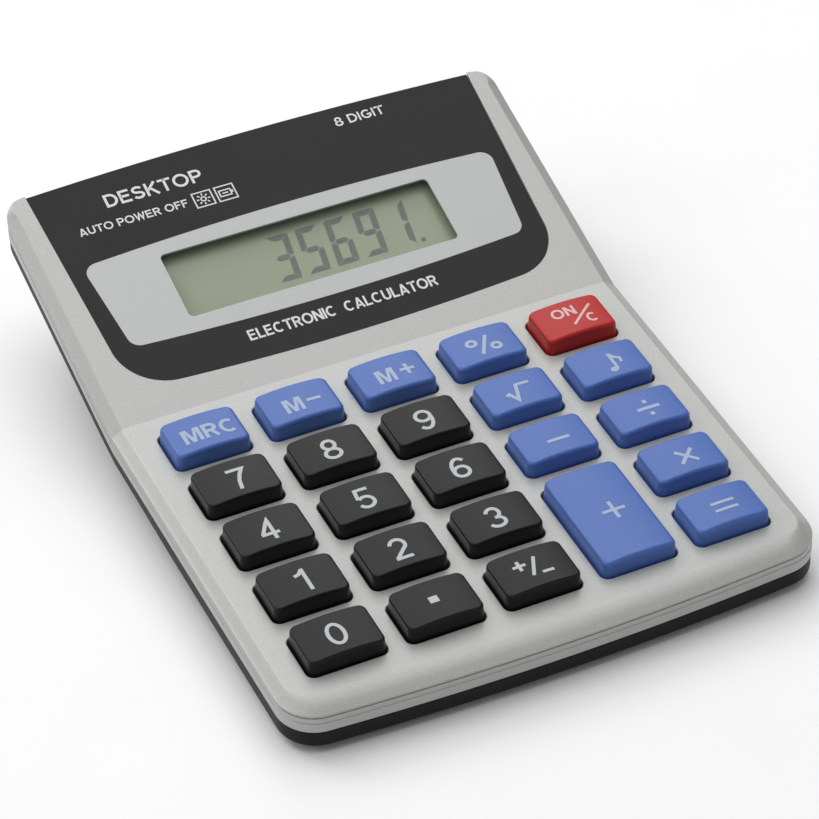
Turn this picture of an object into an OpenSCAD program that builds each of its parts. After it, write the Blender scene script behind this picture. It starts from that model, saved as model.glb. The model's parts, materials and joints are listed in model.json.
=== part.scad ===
// Desk calculator with a bent slab body, a raised display face, 24 sprung keys
// and one AA cell behind a sliding door.
// Millimetres. X points right, Y away from the user, Z up.
// The origin is on the table, under the middle of the outline.

/* [Body] */
// Width over the silver edge
body_w = 113.4; // [110:0.1:120]
// Length of the key deck, along its slope, at the middle of the front edge
deck_len = 90.2; // [90:0.1:96]
// Length of the display face, along its slope, at the middle of the back edge
display_len = 63.1; // [62.5:0.1:66]
// Slope of the key deck
deck_tilt = 3; // [2:0.5:5]
// Extra slope of the display face above the deck
display_tilt = 15; // [14:0.5:17]
// Thickness of the slab at its edge
slab_t = 9.8; // [9.8:0.1:11]
// Part of that thickness that belongs to the top shell
top_t = 5.8; // [5.6:0.1:6.2]
// How far the front edge bows out in the middle
front_bow = 1.8; // [1:0.1:3]
// How far the back edge bows out in the middle
back_bow = 1.3; // [0.5:0.1:2]
// Radius of the front corners in plan
front_r = 8; // [6:0.5:10]
// Radius of the back corners in plan
back_r = 4.5; // [3:0.5:6]
// Depth of the sloped border at the edge of the top shell
border_drop = 1.6; // [1:0.1:1.8]
// Width of the border along the sides
border_side = 2.6; // [2.4:0.1:3]
// Width of the border along the front
border_front = 4.8; // [4:0.1:5]

/* [Keys] */
// Key pitch across the deck
pitch_x = 20.5; // [20.3:0.1:20.7]
// Key pitch along the deck
pitch_y = 15.8; // [15.6:0.1:15.9]
// Width of a key opening
hole_w = 16.7; // [16:0.1:17]
// Depth of a key opening
hole_d = 11.8; // [11.4:0.1:12]
// Corner radius of a key opening
hole_r = 1.7; // [1.4:0.1:2]
// Gap between a cap and its opening
key_gap = 0.35; // [0.3:0.05:0.5]
// Height of a cap's edge above the deck
cap_h = 3.1; // [2.5:0.1:3.5]
// Extra height of a cap's crown at its middle
cap_crown = 0.6; // [0.3:0.1:0.8]
// Distance a key travels when pressed
key_travel = 1.2; // [0.8:0.1:1.2]

/* [Display] */
// Width of the window
window_w = 61.2; // [58:0.1:62]
// Height of the window
window_h = 16.9; // [15:0.1:17]
// Distance from the bend to the window's lower edge
window_s = 21.3; // [21:0.1:22]
// Half width of the printed panel at its lower corners
panel_low = 49.1; // [48:0.1:49.5]
// Half width of the printed panel at the back edge
panel_high = 51.5; // [50:0.1:51.8]
// Distance from the bend to the ends of the panel's lower edge
panel_s = 7.5; // [7:0.1:9]
// How far the panel's lower edge bows out in the middle
panel_bow = 1.3; // [0.5:0.1:1.5]

/* [Hump and battery] */
// Half width of the hump under the display
hump_x = 40; // [39:0.5:42]
// Diameter of the AA cell
cell_d = 14.2; // [13.5:0.1:14.4]
// Length of the AA cell with its nipple
cell_len = 50.5; // [49:0.1:50.5]

/* [Hidden] */
$fn = 48;
e = 0.01;
big = 200;

// Colours
silver = [0.76, 0.76, 0.74];
black = [0.11, 0.11, 0.11];
panel_black = [0.2, 0.19, 0.18];
key_blue = [0.36, 0.44, 0.75];
key_black = [0.16, 0.16, 0.17];
key_red = [0.72, 0.14, 0.14];
board_green = [0.1, 0.4, 0.2];
steel = [0.75, 0.75, 0.78];

// Placing: the bend line is where the key deck meets the display face.
face_tilt = deck_tilt + display_tilt;
foot_h = 1;
base_inset = 0.1;
wall = 2;
base_wall = 2.1;
skin = 2.2;
floor_t = 1.6;
bend_y = (deck_len * cos(deck_tilt) - display_len * cos(face_tilt)) / 2;
bend_z = foot_h + (deck_len - base_inset) * sin(deck_tilt) + slab_t * cos(deck_tilt);
front_y = bend_y - deck_len * cos(deck_tilt);
back_y = bend_y + display_len * cos(face_tilt);

// Layers under a face, measured down from its top plane
floor_w = -(slab_t - floor_t);
board_top = -6;
board_t = 1;
web_t = 0.8;
dome_top = -3.1;
pill_t = 0.4;
pill_bottom = board_top + key_travel + 0.1;
pill_top = pill_bottom + pill_t;
flange_t = 0.8;
play = 0.05;
recess = 1;
panel_t = 0.5;
lens_t = 0.8;
glass_t = 1.1;
film_t = 0.2;

// Keys: name, column, row from the front, rows covered, colour
key_mid_y = -2.08 * pitch_x;
flange_w = hole_w + 0.8;
flange_d = hole_d + 0.8;
flange_r = 2;
KEYS = [
    ["key_0", 0, 0, 1, key_black], ["key_point", 1, 0, 1, key_black],
    ["key_sign", 2, 0, 1, key_black], ["key_plus", 3, 0, 2, key_blue],
    ["key_equals", 4, 0, 1, key_blue],
    ["key_1", 0, 1, 1, key_black], ["key_2", 1, 1, 1, key_black],
    ["key_3", 2, 1, 1, key_black], ["key_times", 4, 1, 1, key_blue],
    ["key_4", 0, 2, 1, key_black], ["key_5", 1, 2, 1, key_black],
    ["key_6", 2, 2, 1, key_black], ["key_minus", 3, 2, 1, key_blue],
    ["key_divide", 4, 2, 1, key_blue],
    ["key_7", 0, 3, 1, key_black], ["key_8", 1, 3, 1, key_black],
    ["key_9", 2, 3, 1, key_black], ["key_root", 3, 3, 1, key_blue],
    ["key_note", 4, 3, 1, key_blue],
    ["key_memory_recall", 0, 4, 1, key_blue], ["key_memory_minus", 1, 4, 1, key_blue],
    ["key_memory_plus", 2, 4, 1, key_blue], ["key_percent", 3, 4, 1, key_blue],
    ["key_on_clear", 4, 4, 1, key_red]
];

// ---- Frames and outlines ----

module on_deck() {
    translate([0, bend_y, bend_z]) rotate([deck_tilt, 0, 0]) children();
}

module on_display() {
    translate([0, bend_y, bend_z]) rotate([face_tilt, 0, 0]) children();
}

function arc(cx, cy, r, from, to, steps) =
    [for (i = [0 : steps]) let (a = from + (to - from) * i / steps)
        [cx + r * cos(a), cy + r * sin(a)]];

// Edge that bows out in the middle and meets round corners at a lean, from left to right.
// It runs along y = 0 at its middle, and half is the x of the corners' centres.
function bow_half(half, r, lean) = half + r * sin(lean);
function bow_depth(half, r, lean) = bow_half(half, r, lean) * tan(lean) / 2;
function bow_edge(half, r, lean, steps) =
    let (x1 = bow_half(half, r, lean), d = bow_depth(half, r, lean))
    [for (i = [1 : steps - 1]) let (t = i / steps * 2 - 1) [t * x1, d * t * t]];
function bow_centre(half, r, lean) = bow_depth(half, r, lean) + r * cos(lean);

front_lean = atan(2 * front_bow / (body_w / 2 - front_r));
back_lean = atan(2 * back_bow / (body_w / 2 - back_r));

// Plan outline of the body, drawn in by a given distance
function outline(inset) =
    let (
        hw = body_w / 2 - inset,
        yf = front_y + inset,
        yb = back_y - inset,
        fr = front_r - min(inset, front_r - 2),
        br = back_r - min(inset, back_r - 1),
        fx = hw - fr,
        bx = hw - br,
        fy = yf + bow_centre(fx, fr, front_lean),
        by = yb - bow_centre(bx, br, back_lean)
    )
    concat(
        [for (p = bow_edge(fx, fr, front_lean, 16)) [p.x, yf + p.y]],
        arc(fx, fy, fr, -90 + front_lean, 0, 8),
        arc(bx, by, br, 0, 90 - back_lean, 8),
        [for (p = bow_edge(bx, br, back_lean, 16)) [-p.x, yb - p.y]],
        arc(-bx, by, br, 90 + back_lean, 180, 8),
        arc(-fx, fy, fr, 180, 270 - front_lean, 8)
    );

module plan(inset) {
    translate([0, 0, -50]) linear_extrude(big) polygon(outline(inset));
}

// Height, in the deck's frame, of a layer w below the top faces at distance y behind the bend
function layer_z(y, w) =
    y > -w * tan(display_tilt / 2) ? y * tan(display_tilt) + w / cos(display_tilt) : w;

// Bent slab between two layers, over the full width
module band(upper, lower) {
    reach = 100;
    on_deck() rotate([90, 0, 90]) translate([0, 0, -big / 2]) linear_extrude(big) polygon([
        [-reach, upper],
        [-upper * tan(display_tilt / 2), upper],
        [reach, layer_z(reach, upper)],
        [reach, layer_z(reach, lower)],
        [-lower * tan(display_tilt / 2), lower],
        [-reach, lower]
    ]);
}

module slab(inset, upper, lower) {
    intersection() {
        plan(inset);
        band(upper, lower);
    }
}

module rounded_rect(w, d, r) {
    square([w - 2 * r, d], center = true);
    square([w, d - 2 * r], center = true);
    for (x = [-1, 1], y = [-1, 1])
        translate([x * (w / 2 - r), y * (d / 2 - r)]) circle(r);
}

// ---- Key positions ----

function key_x(k) = (k[1] - 2) * pitch_x;
function key_y(k) = key_mid_y + (k[2] - 2 + (k[3] - 1) / 2) * pitch_y;
function key_extra(k) = (k[3] - 1) * pitch_y;

// Pillars that carry the board, between the keys and along the front
BOARD_SCREWS = [
    for (x = [-1.5, 1.5], row = [-0.5, 1.5]) [x * pitch_x, key_mid_y + row * pitch_y],
    for (x = [-1, 1]) [x * 34, key_mid_y - 2.55 * pitch_y]
];
pillar_r = 2;

// Bosses that hold the two shells together
SHELL_SCREWS = [[-51, -82.6], [51, -82.6], [-50.2, 46], [50.2, 46]];
boss_r = 2.5;
boss_split = -7;

// ---- Top shell ----

module panel_shape(clearance) {
    r = 11.3;
    low = panel_low + clearance;
    high = panel_high + clearance;
    slope = (high - low) / (display_len - panel_s);
    half = low - r;
    lean = atan(2 * panel_bow / half);
    y = panel_s - clearance + r;
    polygon(concat(
        arc(-half, y, r, 180, 270 - lean, 12),
        [for (p = bow_edge(half, r, lean, 16)) [p.x, p.y + y - bow_centre(half, r, lean)]],
        arc(half, y, r, 270 + lean, 360, 12),
        [[high + slope * 2, display_len + 2], [-high - slope * 2, display_len + 2]]
    ));
}

// What lies above a border that slopes down towards a side wall
module side_bevel(side) {
    low = body_w / 2 + 2;
    rotate([90, 0, 0]) linear_extrude(2 * big, center = true) polygon([
        [side * (body_w / 2 - border_side), 0],
        [side * low, -border_drop - 2 * border_drop / border_side],
        [side * low, 40],
        [side * (body_w / 2 - border_side), 40]
    ]);
}

module border_cuts() {
    for (side = [-1, 1]) intersection() {
        on_deck() side_bevel(side);
        on_display() side_bevel(side);
    }
    on_deck() rotate([90, 0, 90]) linear_extrude(big, center = true) polygon([
        [-deck_len + border_front, 0],
        [-deck_len - 2, -border_drop - 2 * border_drop / border_front],
        [-deck_len - 2, 10],
        [-deck_len + border_front, 10]
    ]);
}

module key_hole(k) {
    translate([key_x(k), key_y(k), -skin - 1])
        linear_extrude(skin + 2) rounded_rect(hole_w, hole_d + key_extra(k), hole_r);
}

module window_hole(grow, upper, lower) {
    translate([0, window_s + window_h / 2, lower])
        linear_extrude(upper - lower) square([window_w + grow, window_h + grow], center = true);
}

module top_shell() color(silver) difference() {
    union() {
        difference() {
            slab(0, 0, -top_t);
            slab(wall, -skin, -top_t - 1);
        }
        on_deck() {
            for (p = BOARD_SCREWS)
                translate([p.x, p.y, board_top]) cylinder(r = pillar_r, h = -board_top - 1);
            for (p = SHELL_SCREWS) let (top = layer_z(p.y, 0))
                translate([p.x, p.y, top + boss_split]) cylinder(r = boss_r, h = -boss_split - 1);
        }
    }
    on_deck() {
        for (k = KEYS) key_hole(k);
        for (p = BOARD_SCREWS)
            translate([p.x, p.y, board_top - 1]) cylinder(r = screw_r(0) + play, h = 5);
        for (p = SHELL_SCREWS) let (top = layer_z(p.y, 0))
            translate([p.x, p.y, top + boss_split - 1]) cylinder(r = screw_r(1) + play, h = 5.6);
    }
    on_display() {
        translate([0, 0, -recess]) linear_extrude(recess + 1) panel_shape(0.1);
        window_hole(1.6, 0, -skin - 1);
    }
    border_cuts();
}

// ---- Display ----

module display_panel() color(panel_black) intersection() {
    plan(0.1);
    on_display() difference() {
        translate([0, 0, -recess]) linear_extrude(panel_t) panel_shape(0);
        window_hole(0, 0, -recess - 1);
    }
}

module display_slice(w, h, s_mid, upper, t) {
    on_display() translate([0, s_mid, upper - t / 2]) cube([w, h, t], center = true);
}

window_mid = window_s + window_h / 2;
lens_bottom = -skin - lens_t;
glass_w = 66;
glass_low_h = 23;
glass_low_shift = 0.6;
glass_back_h = 20.4;
glass_back_shift = 0.7;

// A point in the deck's frame, s along the display face and w above it
function face_point(s, w) =
    [s * cos(display_tilt) - w * sin(display_tilt), s * sin(display_tilt) + w * cos(display_tilt)];

module window_lens() color([0.9, 0.95, 0.95, 0.3])
    display_slice(window_w + 4, window_h + 4, window_mid, -skin, lens_t);

module lcd_front_glass() color([0.62, 0.66, 0.56])
    display_slice(glass_w, glass_low_h, window_mid - glass_low_shift, lens_bottom, glass_t);

module lcd_rear_glass() color([0.62, 0.66, 0.56])
    display_slice(glass_w, glass_back_h, window_mid + glass_back_shift, lens_bottom - glass_t, glass_t);

module lcd_reflector() color([0.7, 0.72, 0.66])
    display_slice(glass_w, glass_back_h, window_mid + glass_back_shift,
                  lens_bottom - 2 * glass_t, film_t);

// Open tray that clips the glass against the lens
module lcd_holder() color("white") on_display() {
    upper = lens_bottom - 2 * glass_t - film_t;
    tray = [glass_w + 4, glass_back_h + 2, 0.7];
    rim = [1, tray.y, 2.6];
    translate([0, window_mid + glass_back_shift, upper]) {
        translate([0, 0, -tray.z / 2]) difference() {
            cube(tray, center = true);
            for (x = [-20, 0, 20]) translate([x, 0, 0]) cube([14, 12, 2], center = true);
        }
        for (side = [-1, 1]) translate([side * (tray.x - rim.x) / 2, 0, rim.z / 2 - e])
            cube(rim, center = true);
    }
}

// Heat-sealed ribbon from the glass ledge down to the board
module lcd_ribbon() color([0.75, 0.55, 0.3]) {
    ribbon_t = 0.15;
    ribbon_w = 40;
    pad = 2;
    ledge_s = window_mid - glass_low_shift - glass_low_h / 2;
    under = lens_bottom - glass_t - ribbon_t;
    path = [
        [0.5, board_top], [0.5 + pad, board_top],
        face_point(ledge_s, under), face_point(ledge_s + pad, under)
    ];
    on_deck() rotate([90, 0, 90]) translate([0, 0, -ribbon_w / 2]) linear_extrude(ribbon_w)
        polygon(concat(path, [for (i = [3 : -1 : 0]) path[i] + [0, ribbon_t / cos(display_tilt)]]));
}

// ---- Electronics ----

board_back = 4;
board_front = key_mid_y - 2.68 * pitch_y;

module main_board() color(board_green) on_deck() difference() {
    translate([-47, board_front, board_top - board_t])
        cube([94, board_back - board_front, board_t]);
    for (p = BOARD_SCREWS)
        translate([p.x, p.y, board_top - board_t - 1]) cylinder(r = screw_r(0) + 0.25, h = 4);
}

// Epoxy drop over the bonded chip, under the board
module chip_blob() color([0.05, 0.05, 0.05]) on_deck()
    translate([0, key_mid_y + 1.5 * pitch_y, board_top - board_t - 0.9])
        cylinder(r1 = 3, r2 = 4.5, h = 0.9);

// Capacitor, resistors and oscillator on the strip behind the rubber sheet
module board_components() color([0.2, 0.2, 0.5]) on_deck() {
    can_r = 1.8;
    strip_y = 1.2;
    translate([-34, strip_y, board_top + can_r]) rotate([0, 90, 0]) cylinder(r = can_r, h = 7);
    for (x = [25, 30, 35]) translate([x, strip_y, board_top]) cube([2, 1.25, 0.6]);
    translate([39, strip_y - 1, board_top]) cube([4, 2.4, 1.6]);
}

// One moulded sheet with a dome under each key
module keypad_rubber() color([0.75, 0.75, 0.72]) on_deck() difference() {
    sheet_back = key_mid_y + 2.35 * pitch_y;
    union() {
        translate([-46, board_front + 0.5, board_top])
            cube([92, sheet_back - board_front - 0.5, web_t]);
        for (k = KEYS) translate([key_x(k), key_y(k), board_top + web_t - e])
            cylinder(r1 = 4.2, r2 = 3, h = dome_top - board_top - web_t + e, $fn = 36);
    }
    for (k = KEYS) translate([key_x(k), key_y(k), board_top - 1])
        cylinder(r = 2.4, h = pill_top - board_top + 1, $fn = 36);
    for (p = BOARD_SCREWS)
        translate([p.x, p.y, board_top - 1]) cylinder(r = pillar_r + 0.4, h = 4);
}

// Conductive pads moulded into the roofs of the domes
module contact_pills() color([0.1, 0.1, 0.1]) on_deck()
    for (k = KEYS) translate([key_x(k), key_y(k), pill_bottom])
        cylinder(r = 2, h = pill_t);

module buzzer() color("gold") on_deck() translate([0, key_mid_y - 1.5 * pitch_y, floor_w]) {
    cylinder(r = 10, h = 0.25);
    translate([0, 0, 0.25]) cylinder(r = 7, h = 0.2);
}

// ---- Wires, held inside along their whole length ----

function unit(v) = v / norm(v);
function tube_ring(path, i, r, sides, ref) =
    let (
        a = path[max(i - 1, 0)],
        b = path[min(i + 1, len(path) - 1)],
        t = unit(b - a),
        side = unit(cross(t, ref)),
        up = cross(t, side)
    )
    [for (k = [0 : sides - 1]) let (q = 360 * k / sides)
        path[i] + r * (cos(q) * side + sin(q) * up)];

// Round wire along a path that never runs along ref
module tube(path, r, sides = 8, ref = [0, 0, 1]) {
    n = len(path);
    pts = [for (i = [0 : n - 1]) each tube_ring(path, i, r, sides, ref)];
    faces = concat(
        [[for (k = [0 : sides - 1]) k]],
        [for (i = [0 : n - 2], k = [0 : sides - 1]) let (j = (k + 1) % sides)
            [i * sides + k, (i + 1) * sides + k, (i + 1) * sides + j, i * sides + j]],
        [[for (k = [sides - 1 : -1 : 0]) (n - 1) * sides + k]]
    );
    polyhedron(pts, faces);
}

// Smooth route through a few chosen points
function blend_point(p, i, t) =
    let (a = p[max(i - 1, 0)], b = p[i], c = p[i + 1], d = p[min(i + 2, len(p) - 1)])
    0.5 * (2 * b + (c - a) * t + (2 * a - 5 * b + 4 * c - d) * t * t
        + (3 * b - a - 3 * c + d) * t * t * t);
function route(p, steps = 5) = concat(
    [for (i = [0 : len(p) - 2], k = [0 : steps - 1]) blend_point(p, i, k / steps)],
    [p[len(p) - 1]]);

// ---- Hump, battery bay and door, in the table's frame ----

hump_front = bend_y + 8;
hump_toe = bend_y + 21;
hump_back = bend_y + 53.5;
bay_front = bend_y + 33.5;
bay_back = bay_front + cell_d + 2.4;
bay_x = 28.6;
door_top = foot_h + 1.8;
bay_floor = door_top + 0.2;
cell_z = bay_floor + cell_d / 2 + 0.1;
cell_y = (bay_front + bay_back) / 2;
bay_roof = cell_z + cell_d / 2 + 0.4;
bay_wall = 1.2;
door_x = 30;
door_front = bend_y + 30.5;
tongue = 1.2;
slide_gap = 0.15;

function slab_underside(y) = bend_z + (y - bend_y) * tan(face_tilt) - slab_t / cos(face_tilt);

module hump_profile(inset, lift) {
    rotate([90, 0, 90]) translate([0, 0, -hump_x + inset]) linear_extrude(2 * (hump_x - inset))
        polygon([
            [hump_front + inset * 1.6, slab_underside(hump_front) + 3],
            [hump_front + inset * 1.6, slab_underside(hump_front)],
            [hump_toe + inset, foot_h + lift],
            [hump_back - inset, foot_h + lift],
            [hump_back - inset, slab_underside(hump_back) + 3]
        ]);
}

module box_between(a, b) {
    translate(a) cube(b - a);
}

FRONT_FEET = [for (x = [-1, 1]) [x * 42, front_y + 15]];
REAR_FEET = [for (x = [-1, 1]) [x * 35.6, bend_y + 44]];
front_foot_top = foot_h + 1.5;
rear_foot_top = foot_h + 0.5;

module bottom_shell() color(black) difference() {
    union() {
        difference() {
            union() {
                slab(base_inset, -top_t, -slab_t);
                hump_profile(0, 0);
            }
            slab(base_inset + base_wall, -top_t + 1, floor_w);
            hump_profile(floor_t, 2.6);
        }
        // Battery bay
        box_between([-bay_x - bay_wall, bay_front - bay_wall, foot_h],
                    [bay_x + bay_wall, bay_back + bay_wall, bay_roof + bay_wall]);
        // Lip that locates the top shell
        difference() {
            slab(wall + 0.15, -top_t + 0.8, -top_t - 1);
            slab(wall + 1.05, -top_t + 2, -top_t - 2);
            on_deck() for (p = SHELL_SCREWS) let (split = layer_z(p.y, 0) + boss_split)
                translate([p.x, p.y, split]) cylinder(r = boss_r + 0.2, h = 6);
        }
        // Screw posts
        on_deck() for (p = SHELL_SCREWS) let (top = layer_z(p.y, 0))
            translate([p.x, p.y, layer_z(p.y, -slab_t) + 1])
                cylinder(r = boss_r, h = top + boss_split - layer_z(p.y, -slab_t) - 1);
    }
    // Inside of the bay, and the opening that the door closes
    box_between([-bay_x, bay_front, bay_floor], [bay_x, bay_back, bay_roof]);
    box_between([-bay_x, bay_front, foot_h - 1], [bay_x, bay_back, bay_floor + e]);
    box_between([-door_x, door_front, foot_h - 1], [door_x, hump_back + 1, bay_floor - 0.05]);
    box_between([-door_x - tongue - slide_gap, door_front, door_top - 0.8 - slide_gap],
                [door_x + tongue + slide_gap, hump_back + 1, bay_floor - 0.05]);
    // Notches for the wires in the bay's ends
    for (x = [-bay_x - bay_wall - 1, bay_x - 1])
        box_between([x, bay_front + 2, bay_roof - 3], [x + bay_wall + 2, bay_front + 4, bay_roof + e]);
    // Screw holes with room for the heads
    on_deck() for (p = SHELL_SCREWS) {
        under = layer_z(p.y, -slab_t);
        translate([p.x, p.y, under - 3]) cylinder(r = 1.3, h = 12);
        translate([p.x, p.y, under - 3]) cylinder(r = 2.3, h = 4.3);
    }
    for (p = FRONT_FEET) translate([p.x, p.y, -1]) cylinder(r = 4.6, h = front_foot_top + 1);
    for (p = REAR_FEET) translate([p.x, p.y, -1]) cylinder(r = 3.1, h = rear_foot_top + 1);
    // Sound holes under the buzzer
    on_deck() translate([0, key_mid_y - 1.5 * pitch_y, -slab_t - 1]) {
        cylinder(r = 0.7, h = floor_t + 1.5);
        for (a = [0 : 60 : 300]) rotate(a) translate([3.2, 0, 0]) cylinder(r = 0.7, h = floor_t + 1.5);
    }
}

module battery_cell() color([0.2, 0.35, 0.25])
    translate([0, cell_y, cell_z]) rotate([0, 90, 0]) {
        body = cell_len - 1.6;
        translate([0, 0, -cell_len / 2 + 0.6]) cylinder(r = cell_d / 2, h = body);
        translate([0, 0, -cell_len / 2]) cylinder(r = 5, h = 0.7);
        translate([0, 0, cell_len / 2 - 1.1]) cylinder(r = 2.75, h = 1.1);
    }

plate_t = 0.4;

// Coiled contact on a tinned plate
module battery_spring() color(steel) {
    turns = 3;
    coil_wire = 0.3;
    first = -bay_x + plate_t + coil_wire + play;
    last = -cell_len / 2 - coil_wire - play;
    coil = [for (i = [0 : 12 * turns]) let (a = 30 * i, f = i / (12 * turns), r = 4.2 - 1.6 * f)
        [first + (last - first) * f, cell_y + r * cos(a), cell_z + r * sin(a)]];
    tube(coil, coil_wire, ref = [1, 0, 0]);
    // Folded tab that holds the first turn
    box_between([-bay_x + plate_t - play, cell_y + 3.7, cell_z - 0.5],
                [first + 0.1, cell_y + 4.7, cell_z + 0.5]);
    box_between([-bay_x, cell_y - 5.5, cell_z - 5.5], [-bay_x + plate_t, cell_y + 5.5, cell_z + 5.5]);
}

module battery_plate() color(steel) {
    box_between([bay_x - plate_t, cell_y - 5.5, cell_z - 5.5], [bay_x, cell_y + 5.5, cell_z + 5.5]);
    translate([cell_len / 2, cell_y, cell_z]) rotate([0, 90, 0])
        cylinder(r = 2.2, h = bay_x - plate_t - cell_len / 2 + e);
}

module battery_wire(side, tint) color(tint) {
    tube(route([
        [side * 28.2, bay_front + 3.4, 16.3], [side * 30.5, bay_front + 3, 16.4],
        [side * 32.5, bay_front - 2, 15], [side * 31, bay_front - 12, 12.5],
        [side * 26, bay_front - 22, 10.9], [side * 22, bend_y + 4, bend_z - 4.8],
        [side * 22, bend_y + 0.5, bend_z - 5.4]
    ]), 0.55);
}

module battery_wire_red() battery_wire(1, "red");
module battery_wire_black() battery_wire(-1, [0.1, 0.1, 0.1]);

module buzzer_wires() color([0.8, 0.2, 0.2]) on_deck() for (side = [-1, 1])
    tube(route([
        [side * 2, key_mid_y - 1.5 * pitch_y + 3, floor_w + 0.75],
        [side * 3, key_mid_y - 0.6 * pitch_y, floor_w + 0.6],
        [side * 6, key_mid_y + 0.4 * pitch_y, floor_w + 0.6],
        [side * 7, key_mid_y + 1.1 * pitch_y, board_top - board_t - 0.3]
    ]), 0.28);

module battery_door() color(black) difference() {
    union() {
        box_between([-door_x + slide_gap, door_front + slide_gap, foot_h],
                    [door_x - slide_gap, hump_back, door_top]);
        box_between([-door_x - tongue, door_front + 3, door_top - 0.8],
                    [door_x + tongue, hump_back - 1, door_top]);
    }
    // Thumb recess
    for (i = [0 : 5]) translate([0, door_front + 5 + 1.6 * i, foot_h])
        cube([14 - 2 * i, 0.7, 0.8], center = true);
}

// ---- Fasteners and feet ----

function screw_r(kind) = kind == 0 ? 0.8 : 1.1;

// Pan-head screw that points up, with its seat at the origin
module screw(r, head_r, head_h, len) {
    cylinder(r = r, h = len);
    difference() {
        translate([0, 0, -head_h]) cylinder(r = head_r, h = head_h);
        for (a = [0, 90]) rotate(a) translate([0, 0, -head_h]) cube([head_r * 1.3, 0.4, 0.8], center = true);
    }
}

module shell_screws() color(steel) on_deck() for (p = SHELL_SCREWS)
    translate([p.x, p.y, layer_z(p.y, -slab_t) + 1.3]) screw(screw_r(1), 2.1, 1.2, 6);

module board_screws() color(steel) on_deck() for (p = BOARD_SCREWS)
    translate([p.x, p.y, board_top - board_t]) screw(screw_r(0), 1.7, 0.8, 4.4);

module rubber_feet() color([0.25, 0.25, 0.25]) {
    for (p = FRONT_FEET) translate([p.x, p.y, 0]) cylinder(r = 4.5, h = front_foot_top);
    for (p = REAR_FEET) translate([p.x, p.y, 0]) cylinder(r = 3, h = rear_foot_top);
}

// ---- Key caps ----

// Hollow straight-sided cap with a cylindrical crown, on a flange that stays under the deck
module keycap(k) color(k[4]) on_deck() translate([key_x(k), key_y(k), 0]) {
    cap_wall = 1.2;
    plunger_r = 2.8;
    w = hole_w - 2 * key_gap;
    d = hole_d - 2 * key_gap + key_extra(k);
    crown_r = (w * w / 4 + cap_crown * cap_crown) / (2 * cap_crown);
    under = -skin - play - flange_t;
    difference() {
        union() {
            intersection() {
                translate([0, 0, under + e])
                    linear_extrude(20) rounded_rect(w, d, hole_r - key_gap / 2);
                translate([0, d, cap_h + cap_crown - crown_r]) rotate([90, 0, 0])
                    cylinder(r = crown_r, h = 2 * d, $fn = 128);
            }
            translate([0, 0, under]) linear_extrude(flange_t)
                rounded_rect(flange_w, flange_d + key_extra(k), flange_r);
        }
        translate([0, 0, under - 1]) linear_extrude(cap_h - under + 1 - cap_wall) difference() {
            square([w - 2 * cap_wall, d - 2 * cap_wall], center = true);
            circle(plunger_r);
        }
    }
}

// ---- Assembly ----

top_shell();
bottom_shell();
display_panel();
window_lens();
lcd_front_glass();
lcd_rear_glass();
lcd_reflector();
lcd_holder();
lcd_ribbon();
main_board();
chip_blob();
board_components();
keypad_rubber();
contact_pills();
buzzer();
buzzer_wires();
battery_cell();
battery_spring();
battery_plate();
battery_wire_red();
battery_wire_black();
battery_door();
shell_screws();
board_screws();
rubber_feet();
for (k = KEYS) keycap(k);
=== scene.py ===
"""Looks of the desk calculator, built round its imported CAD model.

Lengths are in millimetres until put() turns a mesh into metres. Lights stand in metres.
Two planes carry most of the shapes: the key deck and the display face behind the bend.
"""
import json
import math

import bmesh
import bpy
from mathutils import Matrix, Vector
from mathutils.geometry import delaunay_2d_cdt


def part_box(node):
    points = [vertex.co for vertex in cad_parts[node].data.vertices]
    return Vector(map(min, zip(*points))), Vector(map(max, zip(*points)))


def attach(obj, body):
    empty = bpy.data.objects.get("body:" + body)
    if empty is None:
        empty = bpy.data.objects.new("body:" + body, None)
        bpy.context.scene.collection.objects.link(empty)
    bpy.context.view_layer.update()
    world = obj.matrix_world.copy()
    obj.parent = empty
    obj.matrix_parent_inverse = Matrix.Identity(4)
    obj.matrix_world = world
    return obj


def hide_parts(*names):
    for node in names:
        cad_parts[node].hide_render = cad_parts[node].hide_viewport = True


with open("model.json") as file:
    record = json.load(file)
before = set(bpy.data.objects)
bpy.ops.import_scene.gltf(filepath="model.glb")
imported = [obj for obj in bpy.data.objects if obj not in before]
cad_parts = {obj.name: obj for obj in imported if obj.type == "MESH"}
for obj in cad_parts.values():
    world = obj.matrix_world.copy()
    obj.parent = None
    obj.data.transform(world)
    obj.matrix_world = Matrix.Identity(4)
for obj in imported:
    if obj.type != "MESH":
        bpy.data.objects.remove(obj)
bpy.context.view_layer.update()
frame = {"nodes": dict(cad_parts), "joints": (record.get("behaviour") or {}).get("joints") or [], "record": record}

MM = 0.001

# ---- Driving dimensions, as in the part's source ----

deck_len = 90.2
display_tilt = math.radians(15)
slab_t = 9.8
top_t = 5.8
front_bow, back_bow = 1.8, 1.3
front_r = 8
back_r = 4.5
hole_w, hole_d, hole_r = 16.7, 11.8, 1.7
key_gap = 0.35
cap_h = 3.1
cap_crown = 0.6
window_w, window_h, window_s = 61.2, 16.9, 21.3
window_mid = window_s + window_h / 2
panel_low, panel_s, panel_r, panel_bow = 49.1, 7.5, 11.3, 1.3
panel_slope = 0.0465
recess = 1
panel_t = 0.5
skin = 2.2
play = 0.05
flange_t = 0.8
flange_over = 0.8
wall = 2
base_inset = 0.1
pillar_r, boss_r = 2, 2.5
pillar_bore, boss_bore = 0.85, 1.15
boss_low = -7
board_top = -6
floor_w = -8.2
foot_h = 1
door_top = foot_h + 1.8


def box_mm(node):
    low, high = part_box(node)
    return low / MM, high / MM


# ---- The frame: two planes that meet at the bend ----

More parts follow.
